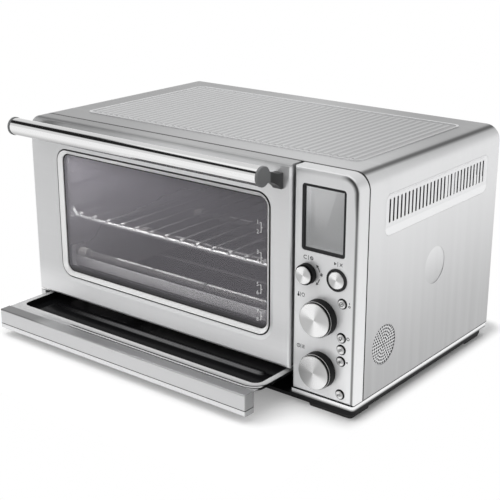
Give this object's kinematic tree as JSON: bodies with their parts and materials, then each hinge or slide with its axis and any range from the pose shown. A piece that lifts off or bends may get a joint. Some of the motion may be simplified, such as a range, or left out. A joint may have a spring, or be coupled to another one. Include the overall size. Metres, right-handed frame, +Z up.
{
  "type": "toaster oven",
  "caption": "Countertop toaster oven in brushed steel with a drop-down glass door, bar handle, control fascia with display and dials, sliding wire rack and a drawn-out crumb tray.",
  "frame": {"origin": "middle of the whole footprint on the counter, with the crumb tray drawn out as in the picture", "axes": "+X to the oven's right as seen from the front, +Y to the back, +Z up"},
  "size_m": [0.48, 0.4154, 0.2676],
  "materials": {
    "brushed_steel": "brushed",
    "vent_steel": "brushed",
    "tray_steel": "brushed",
    "bezel_steel": "satin",
    "polished_bar": "polished",
    "dark_bracket": "satin",
    "galvanised_sheet": "dull",
    "cavity_coating": "satin",
    "rack_wire": "bright",
    "door_glass": "clear",
    "display_glass": "clear",
    "lamp_glass": "frosted",
    "quartz": "clear",
    "white_ceramic": "matt",
    "black_enamel": "gloss",
    "black_plastic": "matt",
    "dial_plastic": "satin",
    "spun_metal": "spun",
    "button_metal": "satin",
    "circuit_board": "satin",
    "motor_paint": "satin",
    "foot_rubber": "matt"
  },
  "bodies": {
    "oven": {"base_plate": "black_plastic", "base_trim": "brushed_steel", "casing": "brushed_steel", "cavity_back": "cavity_coating", "cavity_left": "cavity_coating", "cavity_right": "cavity_coating", "cavity_top": "cavity_coating", "control_board": "circuit_board", "control_carrier": "black_plastic", "control_fascia": "brushed_steel", "cord_gland": "black_plastic", "display_module": "black_plastic", "display_window": "display_glass", "element_caps": "white_ceramic", "fan_housing": "galvanised_sheet", "fan_motor": "motor_paint", "feet": "foot_rubber", "front_frame": "galvanised_sheet", "front_sill": "cavity_coating", "hinge_bracket_left": "galvanised_sheet", "hinge_bracket_right": "galvanised_sheet", "lamp_holder": "galvanised_sheet", "lamp_lens": "lamp_glass", "lower_corner": "brushed_steel", "lower_tubes": "quartz", "rack_guide_left": "cavity_coating", "rack_guide_right": "cavity_coating", "rear_panel": "galvanised_sheet", "side_grille": "vent_steel", "temperature_probe": "rack_wire", "upper_tubes": "quartz", "vent_panel_left": "vent_steel", "vent_panel_right": "vent_steel"},
    "door": {"door_skin": "brushed_steel", "window_bezel": "bezel_steel", "door_glass": "door_glass", "door_inner_frame": "black_enamel", "handle_bar": "polished_bar", "handle_bracket_left": "dark_bracket", "handle_bracket_right": "dark_bracket", "hinge_arm_left": "galvanised_sheet", "hinge_arm_right": "galvanised_sheet"},
    "crumb_tray": {"tray_bar": "tray_steel", "tray_pan": "black_enamel"},
    "rack": {"wire_rack": "rack_wire"},
    "fan": {"fan_rotor": "galvanised_sheet", "cooling_fan": "black_plastic"},
    "upper_dial": {"upper_dial": "dial_plastic", "upper_dial_cap": "spun_metal"},
    "lower_dial": {"lower_dial": "dial_plastic", "lower_dial_cap": "spun_metal"},
    "select_plunger": {"select_shaft": "rack_wire"},
    "select_knob": {"select_knob": "dial_plastic", "select_knob_cap": "spun_metal"},
    "start_button": {"start_button": "button_metal"},
    "button_1": {"button_1": "button_metal"},
    "button_2": {"button_2": "button_metal"},
    "button_3": {"button_3": "button_metal"},
    "button_4": {"button_4": "button_metal"},
    "button_5": {"button_5": "button_metal"}
  },
  "joints": [
    {"name": "door_hinge", "type": "hinge", "parent": "oven", "child": "door", "pos_m": [-0.04125, -0.12525, 0.0454], "axis": [1, 0, 0], "range_deg": [0, 82], "stiffness_Nm_per_rad": 0.8, "springref_deg": -25.78},
    {"name": "tray_slide", "type": "slide", "parent": "oven", "child": "crumb_tray", "axis": [0, -1, 0], "range_m": [-0.074, 0.106]},
    {"name": "rack_slide", "type": "slide", "parent": "oven", "child": "rack", "axis": [0, -1, 0], "range_m": [0, 0.112]},
    {"name": "fan_spin", "type": "hinge", "parent": "oven", "child": "fan", "pos_m": [0.17, 0.03125, 0.1557], "axis": [1, 0, 0], "continuous": true},
    {"name": "upper_dial_turn", "type": "hinge", "parent": "oven", "child": "upper_dial", "pos_m": [0.1977, -0.13375, 0.1085], "axis": [0, -1, 0], "continuous": true},
    {"name": "lower_dial_turn", "type": "hinge", "parent": "oven", "child": "lower_dial", "pos_m": [0.1977, -0.13375, 0.0497], "axis": [0, -1, 0], "continuous": true},
    {"name": "select_push", "type": "slide", "parent": "oven", "child": "select_plunger", "axis": [0, 1, 0], "range_m": [0, 0.0008], "stiffness_N_per_m": 400, "springref_m": -0.001},
    {"name": "select_turn", "type": "hinge", "parent": "select_plunger", "child": "select_knob", "pos_m": [0.1805, -0.13375, 0.153], "axis": [0, -1, 0], "continuous": true},
    {"name": "start_push", "type": "slide", "parent": "oven", "child": "start_button", "axis": [0, 1, 0], "range_m": [0, 0.001], "stiffness_N_per_m": 400, "springref_m": -0.001},
    {"name": "button_1_push", "type": "slide", "parent": "oven", "child": "button_1", "axis": [0, 1, 0], "range_m": [0, 0.001], "stiffness_N_per_m": 300, "springref_m": -0.001},
    {"name": "button_2_push", "type": "slide", "parent": "oven", "child": "button_2", "axis": [0, 1, 0], "range_m": [0, 0.001], "stiffness_N_per_m": 300, "springref_m": -0.001},
    {"name": "button_3_push", "type": "slide", "parent": "oven", "child": "button_3", "axis": [0, 1, 0], "range_m": [0, 0.001], "stiffness_N_per_m": 300, "springref_m": -0.001},
    {"name": "button_4_push", "type": "slide", "parent": "oven", "child": "button_4", "axis": [0, 1, 0], "range_m": [0, 0.001], "stiffness_N_per_m": 300, "springref_m": -0.001},
    {"name": "button_5_push", "type": "slide", "parent": "oven", "child": "button_5", "axis": [0, 1, 0], "range_m": [0, 0.001], "stiffness_N_per_m": 300, "springref_m": -0.001}
  ],
  "couplings": [
    {"joint": "rack_slide", "follows": "door_hinge", "m_per_rad": 0.077}
  ]
}
